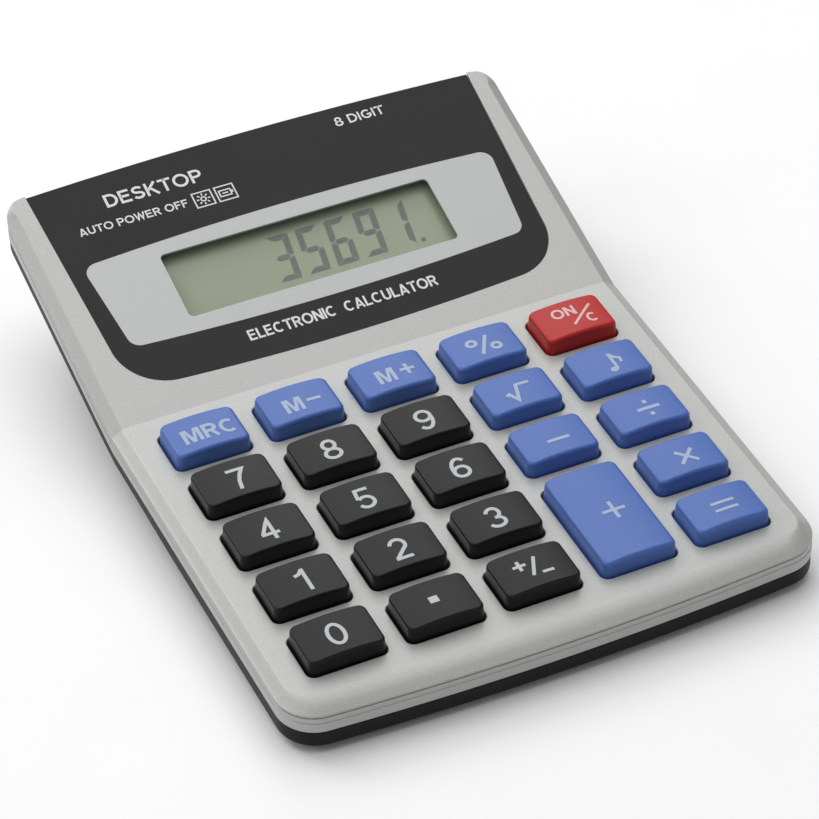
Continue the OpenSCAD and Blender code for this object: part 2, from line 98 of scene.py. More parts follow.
press_axis = Vector(next(j["axis"] for j in frame["joints"] if j["name"] == "press_0"))
deck_tilt = math.atan2(press_axis.y, -press_axis.z)
face_tilt = deck_tilt + display_tilt
shell_low, shell_high = box_mm("top_shell")
front_y, back_y, half_w = shell_low.y, shell_high.y, shell_high.x
bend_y = front_y + deck_len * math.cos(deck_tilt)
bend_z = foot_h + (deck_len - base_inset) * math.sin(deck_tilt) + slab_t * math.cos(deck_tilt)


def on_plane(tilt):
    """A function that places (x, along, above) of a plane through the bend line."""
    c, s = math.cos(tilt), math.sin(tilt)
    return lambda x, y, w: Vector((x, bend_y + y * c - w * s, bend_z + y * s + w * c))


deck = on_plane(deck_tilt)
face = on_plane(face_tilt)


def deck_spot(x, y):
    """A function that places (u, v, w) beside the place (x, y) of the deck."""
    return lambda u, v, w: deck(x + u, y + v, w)


def table_spot(x, y):
    """A function that places (u, v, w) beside the place (x, y) of the table."""
    return lambda u, v, w: Vector((x + u, y + v, w))


def deck_y(y, w):
    """Distance along the deck of a point at the frame's y that lies w above the deck."""
    return (y - bend_y + w * math.sin(deck_tilt)) / math.cos(deck_tilt)


def layer(x, y, w):
    """The point over plan position (x, y) on the bent layer w above the top faces."""
    rises = [(y - bend_y) * math.tan(t) + w / math.cos(t) for t in (deck_tilt, face_tilt)]
    return Vector((x, y, bend_z + max(rises)))


def above_deck(x, y, w):
    """How far the bent layer w lies over the deck's plane, at y along the deck."""
    return layer(x, bend_y + y, w).z - bend_z - y * math.tan(deck_tilt)


# ---- Mesh building ----

INSIDE_ONLY = 1  # delaunay_2d_cdt's output type for the triangles inside the outline


class Build:
    """A mesh under construction, in millimetres."""

    def __init__(self):
        self.bm = bmesh.new()

    def ring(self, points):
        return [self.bm.verts.new(p) for p in points]

    def face(self, verts, material=0):
        made = self.bm.faces.new(verts)
        made.material_index = material
        return made

    def join(self, a, b, material=0):
        """Faces between two rings of the same length."""
        n = len(a)
        for i in range(n):
            j = (i + 1) % n
            self.face((a[i], a[j], b[j], b[i]), material)

    def loft(self, rings, material=0):
        for a, b in zip(rings, rings[1:]):
            self.join(a, b, material)

    def ladder(self, ring):
        """Closes a ring whose second half mirrors its first, rung by rung."""
        n = len(ring)
        for i in range(n // 2 - 1):
            self.face((ring[i], ring[i + 1], ring[n - 2 - i], ring[n - 1 - i]))

    def fill(self, loops, material=0):
        """Fills a flat outline, the first loop, round its holes, which are all convex."""
        verts, owner, edges = [], [], []
        for number, loop in enumerate(loops):
            start = len(verts)
            edges += [(start + i, start + (i + 1) % len(loop)) for i in range(len(loop))]
            verts += loop
            owner += [number] * len(loop)
        made = delaunay_2d_cdt([v.co.xy for v in verts], edges, [], INSIDE_ONLY, 1e-5)
        for corners in made[2]:
            ids = [made[3][i][0] for i in corners]
            owners = {owner[i] for i in ids}
            if owners == {0} or len(owners) > 1:
                self.face([verts[i] for i in ids], material)

    def revolve(self, place, profile, steps):
        """The rings of a body of revolution; profile is a list of (radius, height)."""
        turn = [2 * math.pi * i / steps for i in range(steps)]
        return [self.ring([place(r * math.cos(a), r * math.sin(a), h) for a in turn])
                for r, h in profile]

    def lathe(self, place, profile, steps=36):
        """A closed solid of revolution."""
        rings = self.revolve(place, profile, steps)
        self.loft(rings)
        self.face(rings[0])
        self.face(rings[-1][::-1])

    def tube(self, place, r, bore, low, high):
        corners = [(bore, low), (r, low), (r, high), (bore, high), (bore, low)]
        self.loft(self.revolve(place, corners, 24))

    def box(self, low, high):
        for v in bmesh.ops.create_cube(self.bm, size=1)["verts"]:
            v.co = Vector([low[k] if v.co[k] < 0 else high[k] for k in range(3)])

    def soften(self, width, segments=4):
        """Rounds every edge that turns by more than 30 degrees."""
        bmesh.ops.recalc_face_normals(self.bm, faces=self.bm.faces)
        edges = [e for e in self.bm.edges if e.calc_face_angle(0) > math.radians(30)]
        bmesh.ops.bevel(self.bm, geom=edges, offset=width, segments=segments, profile=0.5,
                        affect="EDGES", clamp_overlap=True)

    def mesh(self, name):
        bmesh.ops.remove_doubles(self.bm, verts=self.bm.verts, dist=0.0005)
        bmesh.ops.recalc_face_normals(self.bm, faces=self.bm.faces)
        made = bpy.data.meshes.new(name)
        self.bm.to_mesh(made)
        self.bm.free()
        return made

    def finish(self, name, materials, body, slot, replaces=(), crease=None):
        put(self.mesh(name), name, materials, body, slot, replaces, crease=crease)


def put(mesh, name, materials, body, slot, replaces=(), sharp=35, crease=None):
    """Makes a piece from a mesh in millimetres, with smooth shading between its sharp edges."""
    mesh.transform(Matrix.Scale(MM, 4))
    for m in materials:
        mesh.materials.append(m)
    for polygon in mesh.polygons:
        polygon.use_smooth = True
    mesh.set_sharp_from_angle(angle=math.radians(sharp))
    if crease:
        marks = mesh.attributes["sharp_edge"]
        for edge in mesh.edges:
            if all(crease(mesh.vertices[i].co / MM) for i in edge.vertices):
                marks.data[edge.index].value = True
    piece = bpy.data.objects.new(name, mesh)
    bpy.context.scene.collection.objects.link(piece)
    weighted = piece.modifiers.new("weighted", "WEIGHTED_NORMAL")
    weighted.keep_sharp = True
    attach(piece, body)
    if replaces:
        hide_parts(*replaces)


def boolean(mesh, other, operation):
    """Cuts or joins two meshes in millimetres, and returns the result."""
    a = bpy.data.objects.new("a", mesh)
    b = bpy.data.objects.new("b", other)
    for o in (a, b):
        bpy.context.scene.collection.objects.link(o)
    step = a.modifiers.new("cut", "BOOLEAN")
    step.operation = operation
    step.solver = "EXACT"
    step.object = b
    bpy.context.view_layer.update()
    made = bpy.data.meshes.new_from_object(a.evaluated_get(bpy.context.evaluated_depsgraph_get()))
    bpy.data.objects.remove(a)
    bpy.data.objects.remove(b)
    return made


def arc(cx, cy, rx, ry, start, end, steps):
    """Points along an arc, from one angle in degrees to another."""
    turn = [math.radians(start + (end - start) * i / steps) for i in range(steps + 1)]
    return [(cx + rx * math.cos(a), cy + ry * math.sin(a)) for a in turn]


def rounded_rect(w, d, r, side=8, corner=6):
    """Loop that runs along the back from left to right and then mirrors itself in front."""
    back = arc(-w / 2 + r, d / 2 - r, r, r, 180, 90, corner)
    back += [(-w / 2 + r + (w - 2 * r) * i / side, d / 2) for i in range(1, side)]
    back += arc(w / 2 - r, d / 2 - r, r, r, 90, 0, corner)
    return back + [(x, -y) for x, y in reversed(back)]


def quarter(r, steps):
    """(inset, drop) along a round edge of radius r, from the flat top to the wall."""
    turn = [math.pi / 2 * i / steps for i in range(steps + 1)]
    return [(r * (1 - math.sin(a)), r * (1 - math.cos(a))) for a in turn]


# ---- Materials ----


def socket(shader, name, value):
    shader.inputs[name].default_value = value


def material(name, color, rough, vary=0.03, grain=900, bump=0.0, bump_grain=6000, rough_vary=0.05,
             metallic=0.0, coat=0.0, coat_rough=0.1, alpha=1.0, specular=0.5, stretch=(1, 1, 1)):
    """Surface whose colour, gloss and relief all vary a little, at the given grains per metre."""
    made = bpy.data.materials.new(name)
    made.use_nodes = True
    nodes, links = made.node_tree.nodes, made.node_tree.links
    shader = nodes["Principled BSDF"]
    place = nodes.new("ShaderNodeTexCoord")
    shape = nodes.new("ShaderNodeMapping")
    shape.inputs["Scale"].default_value = stretch
    links.new(place.outputs["Object"], shape.inputs["Vector"])

    def noise(scale, detail):
        n = nodes.new("ShaderNodeTexNoise")
        n.inputs["Scale"].default_value = scale
        n.inputs["Detail"].default_value = detail
        links.new(shape.outputs["Vector"], n.inputs["Vector"])
        return n.outputs["Fac"]

    ramp = nodes.new("ShaderNodeValToRGB")
    ramp.color_ramp.elements[0].position = 0.3
    ramp.color_ramp.elements[1].position = 0.7
    ramp.color_ramp.elements[0].color = (*[max(0, c * (1 - vary)) for c in color], 1)
    ramp.color_ramp.elements[1].color = (*[min(1, c * (1 + vary)) for c in color], 1)
    links.new(noise(grain, 3), ramp.inputs["Fac"])
    links.new(ramp.outputs["Color"], shader.inputs["Base Color"])
    span = nodes.new("ShaderNodeMapRange")
    span.inputs["To Min"].default_value = max(0.0, rough - rough_vary)
    span.inputs["To Max"].default_value = min(1.0, rough + rough_vary)
    links.new(noise(grain / 3, 2), span.inputs["Value"])
    links.new(span.outputs["Result"], shader.inputs["Roughness"])
    if bump:
        relief = nodes.new("ShaderNodeBump")
        relief.inputs["Strength"].default_value = bump
        relief.inputs["Distance"].default_value = 0.00004
        links.new(noise(bump_grain, 2), relief.inputs["Height"])
        links.new(relief.outputs["Normal"], shader.inputs["Normal"])
    socket(shader, "Metallic", metallic)
    socket(shader, "Coat Weight", coat)
    socket(shader, "Coat Roughness", coat_rough)
    socket(shader, "Specular IOR Level", specular)
    socket(shader, "Alpha", alpha)
    return made


silver = material("silver_shell", (0.445, 0.45, 0.435), 0.42, vary=0.10, grain=4200, bump=0.2,
                  bump_grain=5200, metallic=0.25, coat=0.12, coat_rough=0.2)
shell_black = material("black_shell", (0.010, 0.010, 0.011), 0.45, vary=0.2, grain=2500, bump=0.35,
                       bump_grain=4500, specular=0.15)
panel_black = material("panel_black", (0.011, 0.010, 0.0095), 0.3, vary=0.12, grain=60, bump=0.05,
                       bump_grain=1500, rough_vary=0.04, specular=0.19)
panel_silver = material("panel_silver", (0.44, 0.455, 0.445), 0.42, vary=0.04, grain=3500, bump=0.08,
                        metallic=0.25)
print_white = material("print_white", (0.72, 0.73, 0.72), 0.45, vary=0.04, grain=5000)
legend_grey = material("legend_grey", (0.46, 0.50, 0.52), 0.42, vary=0.05, grain=5000)
legend_pale_blue = material("legend_pale_blue", (0.35, 0.43, 0.58), 0.42, vary=0.05, grain=5000)
legend_pink = material("legend_pink", (0.70, 0.45, 0.44), 0.42, vary=0.05, grain=5000)
key_black = material("key_black", (0.008, 0.008, 0.008), 0.30, vary=0.15, grain=1800, bump=0.12,
                     bump_grain=5200, specular=0.22)
key_blue = material("key_blue", (0.058, 0.138, 0.45), 0.36, vary=0.05, grain=1500, bump=0.10,
                    bump_grain=5200)
key_red = material("key_red", (0.45, 0.012, 0.010), 0.38, vary=0.05, grain=1500, bump=0.10,
                   bump_grain=5200, specular=0.35)
glass_green = material("lcd_glass", (0.200, 0.235, 0.120), 0.25, vary=0.04, grain=160, rough_vary=0.03)
segment_ink = material("lcd_segment", (0.020, 0.028, 0.025), 0.3, vary=0.06, grain=900, specular=0.2)
lens_clear = material("clear_lens", (0.88, 0.94, 0.84), 0.06, vary=0.01, grain=200, rough_vary=0.01,
                      alpha=0.09)
reflector = material("reflector", (0.5, 0.52, 0.45), 0.35, grain=2500, metallic=0.8, bump=0.1)
white_plastic = material("white_plastic", (0.75, 0.75, 0.72), 0.45, bump=0.1)
ribbon_film = material("ribbon", (0.45, 0.24, 0.07), 0.3, vary=0.1, stretch=(40, 1, 1), grain=60)
board_green = material("circuit_board", (0.02, 0.13, 0.05), 0.4, vary=0.25, grain=300, bump=0.2,
                       bump_grain=1200)
epoxy = material("epoxy", (0.01, 0.01, 0.01), 0.15, vary=0.2, bump=0.15, bump_grain=600, coat=0.6)
component_blue = material("components", (0.05, 0.06, 0.2), 0.35, vary=0.15, bump=0.1)
rubber_grey = material("keypad_rubber", (0.48, 0.48, 0.45), 0.6, vary=0.05, bump=0.3, bump_grain=3000)
carbon = material("carbon_rubber", (0.02, 0.02, 0.02), 0.75, vary=0.2, bump=0.4, bump_grain=4000)
brass = material("brass_disc", (0.75, 0.55, 0.25), 0.3, vary=0.06, metallic=1.0, stretch=(1, 20, 1),
                 grain=300, bump=0.15, bump_grain=900)
wire_red = material("wire_red", (0.6, 0.03, 0.03), 0.4, vary=0.08, bump=0.1)
wire_black = material("wire_black", (0.015, 0.015, 0.015), 0.4, vary=0.15, bump=0.1)
battery_wrap = material("battery_wrap", (0.03, 0.09, 0.06), 0.25, vary=0.15, grain=120, coat=0.4)
plated = material("plated_steel", (0.7, 0.7, 0.68), 0.22, metallic=1.0, vary=0.05, bump=0.1)
screw_steel = material("screw_steel", (0.5, 0.5, 0.5), 0.32, metallic=1.0, vary=0.1, bump=0.2,
                       bump_grain=2500)
foot_rubber = material("foot_rubber", (0.02, 0.02, 0.02), 0.7, vary=0.2, bump=0.5, bump_grain=2600)


# ---- Outlines of the body, in plan ----

# Width of the sloped border at the sides, in front and at the back
border_side, border_front, border_back = 2.6, 4.8, 0.5
# How far it falls beside the deck, beside the display and at the back
drop_deck, drop_display, drop_back = 1.6, 1.5, 0.15
# Eased edges of the recess: their width, radius and soft start
eased, eased_r, eased_soft = 0.15, 0.1, 0.2
edge_r = 0.25
hole_edge_r = 0.3
window_ledge = 0.8
panel_gap = 0.1
rail_r = 0.25
# Fine groove under the border's edge and the faint step below it, as (inset, w)
wall_groove = [(0, -1.98), (0.5, -2.0), (0.5, -2.35), (0.14, -2.42), (0.14, -3.5), (0, -3.65)]
# Eased lower edge of the silver wall, as (inset, above the rim)
rim_ease = [(0, 0.12), (0.04, 0.03), (0.12, 0)]
# Where the shells part: the silver rim ends above that line and the black edge starts below it
seam_up, seam_down = 0.14, 0.04


class Bow:
    """An edge that bows out in its middle and meets round corners of radius r at a lean."""

    def __init__(self, half, r, depth):
        self.lean = math.atan(2 * depth / half)
        self.end = half + r * math.sin(self.lean)
        self.depth = self.end * math.tan(self.lean) / 2
        self.centre = self.depth + r * math.cos(self.lean)
        self.lean_deg = math.degrees(self.lean)

    def off(self, x):
        """How far the edge lies behind its middle at x."""
        return self.depth * (x / self.end) ** 2

    def points(self, steps):
        return [(self.end * i / steps, self.off(self.end * i / steps)) for i in range(steps)]


front_edge = Bow(half_w - front_r, front_r, front_bow)
back_edge = Bow(half_w - back_r, back_r, back_bow)
panel_edge = Bow(panel_low - panel_r, panel_r, panel_bow)


def back_at(x):
    return back_y - back_edge.off(x)


def display_share(y):
    """0 on the deck and at the bend, 1 at the back edge."""
    return min(1, max(0, (y - bend_y) / (back_y - bend_y)))


def panel_x(s):
    """Half width of the panel at s on the display face, above its round corners."""
    return panel_low + (s - panel_s - panel_r) * panel_slope


def rail_x(y):
    """Half width of the panel's recess at plan distance y."""
    return panel_x((y - bend_y) / math.cos(face_tilt)) + panel_gap


def outer_half():
    """The right half of the outline, from the middle of the front to the back edge's corner."""
    bow = [(x, front_y + d) for x, d in front_edge.points(14)]
    corner = arc(half_w - front_r, front_y + front_edge.centre, front_r, front_r,
                 -90 + front_edge.lean_deg, 0, 12)
    side_low, side_high = corner[-1][1], back_y - back_edge.centre
    deck_side = [(half_w, side_low + (bend_y - side_low) * i / 8) for i in range(1, 8)]
    face_side = [(half_w, bend_y + (side_high - bend_y) * i / 8) for i in range(0, 8)]
    back = arc(half_w - back_r, side_high, back_r, back_r, 0, 90 - back_edge.lean_deg, 10)
    return bow + corner + deck_side + face_side + back


def rail_end():
    """The rounded inner corner at the back end of the right rail."""
    x = rail_x(back_at(half_w - back_r)) + rail_r
    return arc(x, back_at(x) - rail_r, rail_r, rail_r, 90, 180, 4)


def panel_corner(grow):
    """The panel's right lower corner and its bowed lower edge, out to the middle, in (x, s)."""
    y = panel_s + panel_r
    corner = arc(panel_low - panel_r, y, panel_r + grow, panel_r + grow, 0, -90 + panel_edge.lean_deg, 16)
    low = y - panel_edge.centre - grow
    return corner + [(x, low + d) for x, d in reversed(panel_edge.points(10))]


def recess_edge():
    """The right half of the recess, from its back end to the middle of its lower edge."""
    flat = [(x, bend_y + s * math.cos(face_tilt)) for x, s in panel_corner(panel_gap)]
    top = rail_end()[-1][1]
    side = [(rail_x(y), y) for y in [top + (flat[0][1] - top) * i / 6 for i in range(1, 6)]]
    return side + flat


def mirrored(half):
    """A half outline and its mirror image, running from the left end to the right end."""
    return [(-x, y) for x, y in reversed(half[1:])] + half


def normals(loop):
    """Outward normals of a loop that runs anticlockwise round the material."""
    made = []
    for i, (x, y) in enumerate(loop):
        ax, ay = loop[i - 1]
        bx, by = loop[(i + 1) % len(loop)]
        d1 = Vector((x - ax, y - ay)).normalized()
        d2 = Vector((bx - x, by - y)).normalized()
        t = (d1 + d2).normalized()
        stretch = 1 / max(0.5, t.dot(d2))
        made.append(Vector((t.y, -t.x)) * stretch)
    return made


# ---- Top shell ----

key_names = [n for n in frame["nodes"] if n.startswith("key_")]
flange_mid = -(skin + play + flange_t / 2)
rooted = 0.3  # how far a pillar reaches into the skin
solid_reach = 12  # vertices nearer than this in plan belong to the same loose solid


def key_place(node):
    """Centre of a key on the deck, and how far it is longer than a single key."""
    low, high = box_mm(node)
    middle = (low + high) / 2
    y = deck_y(middle.y, flange_mid)
    one_low, one_high = box_mm("key_0")
    extra = ((high.y - low.y) - (one_high.y - one_low.y)) / math.cos(deck_tilt)
    return middle.x, y, extra


def border_profile(b, drop, r, soft):
    """(inset, depth) from the flat top down to the wall: a soft start, a slope and a round edge."""
    rows = []
    for t in (0, 0.08, 0.16, 0.3, 0.5, 0.75, 1):
        fall = t * t / (2 * soft) if t < soft else t - soft / 2
        rows.append((b - (b - r) * t, -drop * fall / (1 - soft / 2)))
    rows += [(o, -drop - d) for o, d in quarter(r, 4)[1:]]
    return rows + [(0, -max(recess, drop + r + 0.05))]


def make_top_shell():
    build = Build()
    half = outer_half()
    end = rail_end()
    outer = mirrored(half + end[1:])
    inner = recess_edge()
    loop = outer + inner + [(-x, y) for x, y in reversed(inner[:-1])]
    n_out, n_end = len(outer), len(end) - 1
    norm = normals(loop)
    rows = []
    for i, (x, y) in enumerate(loop):
        if i >= n_out:
            profile = border_profile(eased, 0, eased_r, eased_soft)
        elif i < n_end or i >= n_out - n_end:
            k = n_end - i if i < n_end else i - (n_out - 1 - n_end)
            b = border_back + (eased - border_back) * k / n_end
            profile = border_profile(b, drop_back * (1 - k / n_end), eased_r, eased_soft)
        else:
            share = display_share(y)
            frontness = max(0, -norm[i].y) ** 1.5
            backness = max(0, norm[i].y)
            b = border_side + (border_front - border_side) * frontness
            b += backness * (border_back - b)
            drop = drop_deck + (drop_display - drop_deck) * share
            drop += backness * (drop_back - drop)
            profile = border_profile(b, drop, min(edge_r, b * 0.6), 0.15 + 0.7 * frontness)
        rows.append([(x - norm[i].x * o, y - norm[i].y * o, w) for o, w in profile])
    rings = [build.ring([layer(*row[k]) for row in rows]) for k in range(len(rows[0]))]
    build.loft(rings)

    # The two flat tops, with the key openings in the deck
    bends = [i for i, (x, y) in enumerate(outer) if abs(y - bend_y) < 1e-6]
    left, right = bends[0], bends[-1]
    top = rings[0]
    holes, under_holes = [], []
    hole_edge = quarter(hole_edge_r, 4)
    for name in key_names:
        cx, cy, extra = key_place(name)
        made = []
        for o, d in hole_edge + [(0, skin)]:
            shape = rounded_rect(hole_w + 2 * o, hole_d + extra + 2 * o, hole_r + o, side=2)
            made.append(build.ring([deck(cx + x, cy + y, -d) for x, y in shape]))
        build.loft(made)
        holes.append(made[0])
        under_holes.append(made[-1])
    build.fill([top[left:right + 1]] + holes)
    build.fill([top[right:] + top[:left + 1]])

    # The recess floor, with the window opening
    level = rings[-1]
    x_end = end[-1][0] - 0.02
    back_line = [(x, back_at(x)) for x in [x_end * (1 - i / 12) for i in range(25)]]
    back_ring = build.ring([layer(x, y, -recess) for x, y in back_line])
    shape = rounded_rect(window_w + 2 * window_ledge, window_h + 2 * window_ledge, window_ledge,
                         side=2, corner=4)
    window = [build.ring([face(x, window_mid + y, w) for x, y in shape]) for w in (-recess, -skin)]
    build.loft(window)
    floor_loop = [level[n_out - 1]] + level[n_out:] + [level[0]] + back_ring[::-1]
    build.fill([floor_loop, window[0]])

    # The wall, its lower rim and the inside
    low_plan = outer + back_line
    inward = []
    for i, (x, y) in enumerate(low_plan):
        flat_back = i < n_end + 1 or i >= n_out - n_end - 1
        inward.append(Vector((0, 1)) if flat_back else norm[i])
    rim = -top_t + seam_up

    def low_ring(inset, w):
        """A ring of the wall; inside the back edge it keeps the wall's thickness."""
        pts = []
        for (x, y), n in zip(low_plan, inward):
            py = y - n.y * inset
            if inset >= wall and y > back_y - back_r and n.y > 0.99:
                py = back_at(x) - wall
            pts.append(layer(x - n.x * inset, py, w))
        return build.ring(pts)

    lower = [level[:n_out] + back_ring]
    lower += [low_ring(inset, w) for inset, w in wall_groove]
    lower += [low_ring(inset, rim + up) for inset, up in rim_ease]
    lower += [low_ring(wall, rim), low_ring(wall, -skin)]
    build.loft(lower)
    under = lower[-1]
    build.fill([under[left:right + 1]] + under_holes)
    build.fill([under[right:] + under[:left + 1], window[1]])

    # Pillars for the board and bosses for the shell screws
    for x, y, r, bore, low in pillar_places():
        top_w = above_deck(x, y, 0)
        build.tube(deck_spot(x, y), r, bore, top_w + low, top_w - skin + rooted)
    build.finish("silver_top_shell", [silver], "housing", "silver_shell", ["top_shell"],
                 crease=lambda p: abs(p.y - bend_y) < 1e-3)


def loose_solids(node):
    """Boxes (low, high) of the loose solids of a CAD node, which stand apart in plan."""
    mesh = frame["nodes"][node].data
    spots = []
    for v in mesh.vertices:
        p = v.co / MM
        near = [s for s in spots if (s[0] - p.xy).length < solid_reach]
        if near:
            near[0][1].append(p)
        else:
            spots.append((p.xy.copy(), [p]))
    made = []
    for _, points in spots:
        low = Vector([min(p[k] for p in points) for k in range(3)])
        high = Vector([max(p[k] for p in points) for k in range(3)])
        made.append((low, high))
    return made


def pillar_places():
    """(x, y on the deck, radius, bore, lower end) of every pillar and boss."""
    made = []
    for node, r, bore, low, head_w in (("board_screws", pillar_r, pillar_bore, board_top, board_top),
                                       ("shell_screws", boss_r, boss_bore, boss_low, -slab_t)):
        for a, b in loose_solids(node):
            middle = (a + b) / 2
            made.append((middle.x, deck_y(middle.y, head_w), r, bore, low))
    return made


# ---- Strokes, for legends and small signs ----

stroke_step = 1.2  # length of a stroke's straight parts, short enough to follow a crown


def ribbon(build, points, half, place, low, high, material, closed):
    """A flat stroke of the given half width along points, as a thin closed solid."""
    path = []
    pairs = list(zip(points, points[1:] + (points[:1] if closed else [])))
    for (ax, ay), (bx, by) in pairs:
        parts = max(1, round(math.hypot(bx - ax, by - ay) / stroke_step))
        path += [(ax + (bx - ax) * i / parts, ay + (by - ay) * i / parts) for i in range(parts)]
    if not closed:
        path.append(points[-1])
    n = len(path)
    sections = []
    for i, (x, y) in enumerate(path):
        before = path[i - 1] if i or closed else None
        after = path[(i + 1) % n] if i < n - 1 or closed else None
        d1 = Vector((x - before[0], y - before[1])).normalized() if before else None
        d2 = Vector((after[0] - x, after[1] - y)).normalized() if after else None
        t = ((d1 or d2) + (d2 or d1)).normalized()
        miter = half / max(0.45, t.dot(d2 or d1))
        side = Vector((-t.y, t.x)) * miter
        corners = [(side, high), (-side, high), (-side, low), (side, low)]
        sections.append(build.ring([place(x + s.x, y + s.y, w) for s, w in corners]))
    build.loft(sections, material)
    if closed:
        build.join(sections[-1], sections[0], material)
    else:
        build.face(sections[0], material)
        build.face(sections[-1][::-1], material)


def plate(build, points, place, low, high, material):
    """A thin closed solid with the given outline."""
    upper, lower = [build.ring([place(x, y, w) for x, y in points]) for w in (high, low)]
    build.join(upper, lower, material)
    build.fill([upper], material)
    build.fill([lower], material)


def draw(build, strokes, width, place, low, high, material):
    """Raised or printed strokes; a solid one is an outline that is filled."""
    for points, kind in strokes:
        if kind == "solid":
            plate(build, points, place, low, high, material)
        else:
            ribbon(build, points, width / 2, place, low, high, material, kind)


def half_turn(strokes, cx, cy):
    return [([(2 * cx - x, 2 * cy - y) for x, y in points], closed) for points, closed in strokes]


def oval(x, y, rx, ry):
    """A closed round stroke."""
    return arc(x, y, rx, ry, 0, 345, 23), True


def line(*flat):
    """An open stroke through points that are given as x, y, x, y and so on."""
    return list(zip(flat[::2], flat[1::2])), False


SIX = [oval(0.335, 0.315, 0.25, 0.24),
       (arc(0.375, 0.43, 0.29, 0.495, 188, 48, 14), False)]

# Glyphs for a height of 1: the width, then strokes as (points, closed) or (outline, "solid")
GLYPHS = {
    "0": (0.67, [oval(0.335, 0.5, 0.26, 0.425)]),
    "1": (0.5, [line(0.42, 1.0, 0.42, 0.0), line(0.10, 0.735, 0.28, 0.79, 0.42, 0.96)]),
    "2": (0.67, [(arc(0.335, 0.67, 0.245, 0.255, 168, -30, 14) + [(0.10, 0.10)], False),
                 line(0.05, 0.075, 0.63, 0.075)]),
    "3": (0.67, [(arc(0.315, 0.70, 0.215, 0.225, 165, -88, 14), False),
                 (arc(0.315, 0.285, 0.26, 0.21, 92, -165, 14), False)]),
    "4": (0.67, [line(0.45, 0.0, 0.45, 0.93, 0.08, 0.30), line(0.04, 0.28, 0.65, 0.28)]),
    "5": (0.67, [line(0.58, 0.925, 0.15, 0.925, 0.105, 0.50),
                 (arc(0.325, 0.32, 0.26, 0.25, 140, -158, 16), False)]),
    "6": (0.67, SIX),
    "7": (0.67, [line(0.04, 0.925, 0.60, 0.925, 0.44, 0.68, 0.32, 0.40, 0.25, 0.0)]),
    "8": (0.67, [oval(0.335, 0.715, 0.205, 0.21), oval(0.335, 0.29, 0.26, 0.215)]),
    "9": (0.67, half_turn(SIX, 0.335, 0.5)),
    "M": (0.96, [([(0, 0), (0, 1), (0.30, 1), (0.48, 0.32), (0.66, 1), (0.96, 1), (0.96, 0), (0.77, 0),
                   (0.77, 0.79), (0.58, 0), (0.38, 0), (0.19, 0.79), (0.19, 0)], "solid")]),
    "R": (0.76, [([(0.10, 0.0), (0.10, 0.91), (0.40, 0.91)] + arc(0.40, 0.695, 0.23, 0.215, 80, -80, 8)
                  + [(0.40, 0.48), (0.10, 0.48)], False), line(0.40, 0.48, 0.66, 0.0)]),
    "C": (0.86, [(arc(0.44, 0.5, 0.34, 0.41, 48, 312, 18), False)]),
    "O": (0.94, [oval(0.47, 0.5, 0.38, 0.42)]),
    "N": (0.79, [([(0, 0), (0, 1), (0.20, 1), (0.60, 0.34), (0.60, 1), (0.79, 1), (0.79, 0), (0.59, 0),
                   (0.19, 0.66), (0.19, 0)], "solid")]),
    "A": (0.80, [line(0.09, 0.0, 0.37, 0.93, 0.43, 0.93, 0.71, 0.0), line(0.20, 0.27, 0.60, 0.27)]),
    "D": (0.78, [([(0.10, 0.09), (0.10, 0.91), (0.34, 0.91)] + arc(0.34, 0.5, 0.35, 0.41, 78, -78, 10)
                  + [(0.34, 0.09)], True)]),
    "E": (0.70, [line(0.64, 0.91, 0.10, 0.91, 0.10, 0.09, 0.66, 0.09), line(0.10, 0.52, 0.60, 0.52)]),
    "F": (0.64, [line(0.62, 0.91, 0.10, 0.91, 0.10, 0.0), line(0.10, 0.50, 0.54, 0.50)]),
    "G": (0.84, [(arc(0.44, 0.5, 0.34, 0.41, 48, 322, 16) + [(0.75, 0.27), (0.75, 0.45), (0.46, 0.45)],
                  False)]),
    "I": (0.2, [line(0.10, 0.0, 0.10, 1.0)]),
    "K": (0.76, [line(0.10, 0.0, 0.10, 1.0), line(0.66, 1.0, 0.14, 0.40), line(0.30, 0.58, 0.70, 0.0)]),
    "L": (0.62, [line(0.10, 1.0, 0.10, 0.09, 0.60, 0.09)]),
    "P": (0.70, [([(0.10, 0.0), (0.10, 0.91), (0.40, 0.91)] + arc(0.40, 0.68, 0.22, 0.23, 78, -78, 8)
                  + [(0.40, 0.45), (0.10, 0.45)], False)]),
    "S": (0.70, [(arc(0.35, 0.705, 0.25, 0.205, 22, 270, 12) + arc(0.35, 0.295, 0.27, 0.205, 84, -158, 12),
                  False)]),
    "T": (0.72, [line(0.36, 0.0, 0.36, 1.0), line(0.0, 0.91, 0.72, 0.91)]),
    "U": (0.76, [([(0.10, 1.0), (0.10, 0.40)] + arc(0.38, 0.37, 0.28, 0.28, 180, 360, 12) + [(0.66, 1.0)],
                  False)]),
    "W": (1.04, [line(0.07, 1.0, 0.29, 0.06, 0.52, 0.93, 0.75, 0.06, 0.97, 1.0)]),
    " ": (0.28, []),
}


def write(text, height, x, y):
    """Strokes of a word that is centred on (x, y)."""
    gap = 0.1
    width = sum(GLYPHS[c][0] for c in text) + gap * (len(text) - 1)
    made, at = [], -width / 2
    for c in text:
        w, strokes = GLYPHS[c]
        for points, closed in strokes:
            made.append(([(x + (at + px) * height, y + (py - 0.5) * height) for px, py in points], closed))
        at += w + gap
    return made


def bar(x, y, length, angle=0):
    """A single straight stroke, centred on (x, y)."""
    a = math.radians(angle)
    u = Vector((math.cos(a), math.sin(a))) * length / 2
    return [([(x - u.x, y - u.y), (x + u.x, y + u.y)], False)]


def cross(x, y, length, angle=0):
    return bar(x, y, length, angle) + bar(x, y, length, angle + 90)


def percent():
    rings = [(arc(x, y, 0.95, 0.85, 0, 345, 15), True) for x, y in ((-2.3, 0.75), (2.3, -1.65))]
    return rings + bar(0.05, -0.5, 6.0, 62)


